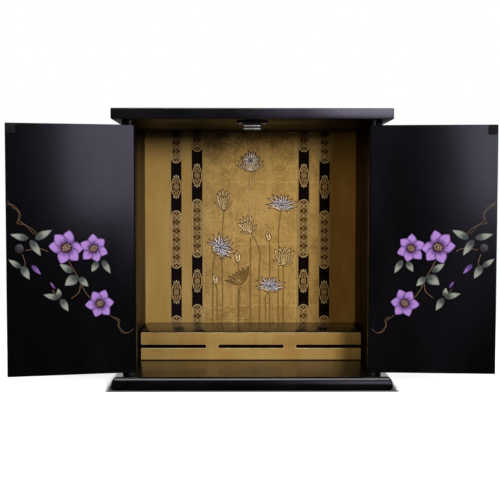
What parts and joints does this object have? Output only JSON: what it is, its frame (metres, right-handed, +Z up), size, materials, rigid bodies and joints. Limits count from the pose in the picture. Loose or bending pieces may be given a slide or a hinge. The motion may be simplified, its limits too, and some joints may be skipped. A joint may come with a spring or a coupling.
{
  "type": "household altar cabinet",
  "caption": "Tabletop household altar cabinet in black lacquer with hinged doors, a gold back with a lotus relief and brocade strips, and a low step with a slotted gold front.",
  "frame": {"origin": "middle of the base board's underside", "axes": "+Z up, -Y out of the open front, +X to the viewer's right"},
  "size_m": [0.7253, 0.3252, 0.4205],
  "materials": {
    "black_lacquer": "satin black lacquer on board",
    "gold": "gold leaf and gold paint on board",
    "brocade": "black brocade ribbon with gold thread",
    "steel": "plated steel",
    "ferrite": "matte black magnet",
    "black_plastic": "matte black",
    "brass": "antique brass",
    "screw_cap": "satin dark grey"
  },
  "bodies": {
    "cabinet": {"base_board": "black_lacquer", "left_side": "black_lacquer", "right_side": "black_lacquer", "back_board": "black_lacquer", "top_board": "black_lacquer", "gold_back_panel": "gold", "brocade_strip_outer_left": "brocade", "brocade_strip_inner_left": "brocade", "brocade_strip_inner_right": "brocade", "brocade_strip_outer_right": "brocade", "step_top": "black_lacquer", "step_left_side": "black_lacquer", "step_right_side": "black_lacquer", "step_inner_front": "black_lacquer", "step_front": "gold", "catch_body": "black_plastic", "catch_yoke_lower": "steel", "catch_yoke_upper": "steel", "catch_magnet": "ferrite", "catch_screw_left": "steel", "catch_screw_right": "steel", "pivot_pin_bottom_left": "steel", "pivot_pin_top_left": "steel", "pivot_pin_bottom_right": "steel", "pivot_pin_top_right": "steel"},
    "left_door": {"left_door": "black_lacquer", "left_strike_plate": "black_plastic", "left_knob": "brass", "left_screw_cap": "screw_cap"},
    "right_door": {"right_door": "black_lacquer", "right_strike_plate": "black_plastic", "right_knob": "brass", "right_screw_cap": "screw_cap"}
  },
  "joints": [
    {"name": "left_door_hinge", "type": "hinge", "parent": "cabinet", "child": "left_door", "pos_m": [-0.1825, -0.1273, 0], "axis": [0, 0, 1], "range_deg": [-12.6, 167.4]},
    {"name": "right_door_hinge", "type": "hinge", "parent": "cabinet", "child": "right_door", "pos_m": [0.1825, -0.1273, 0], "axis": [0, 0, -1], "range_deg": [-4.9, 175.1]}
  ]
}
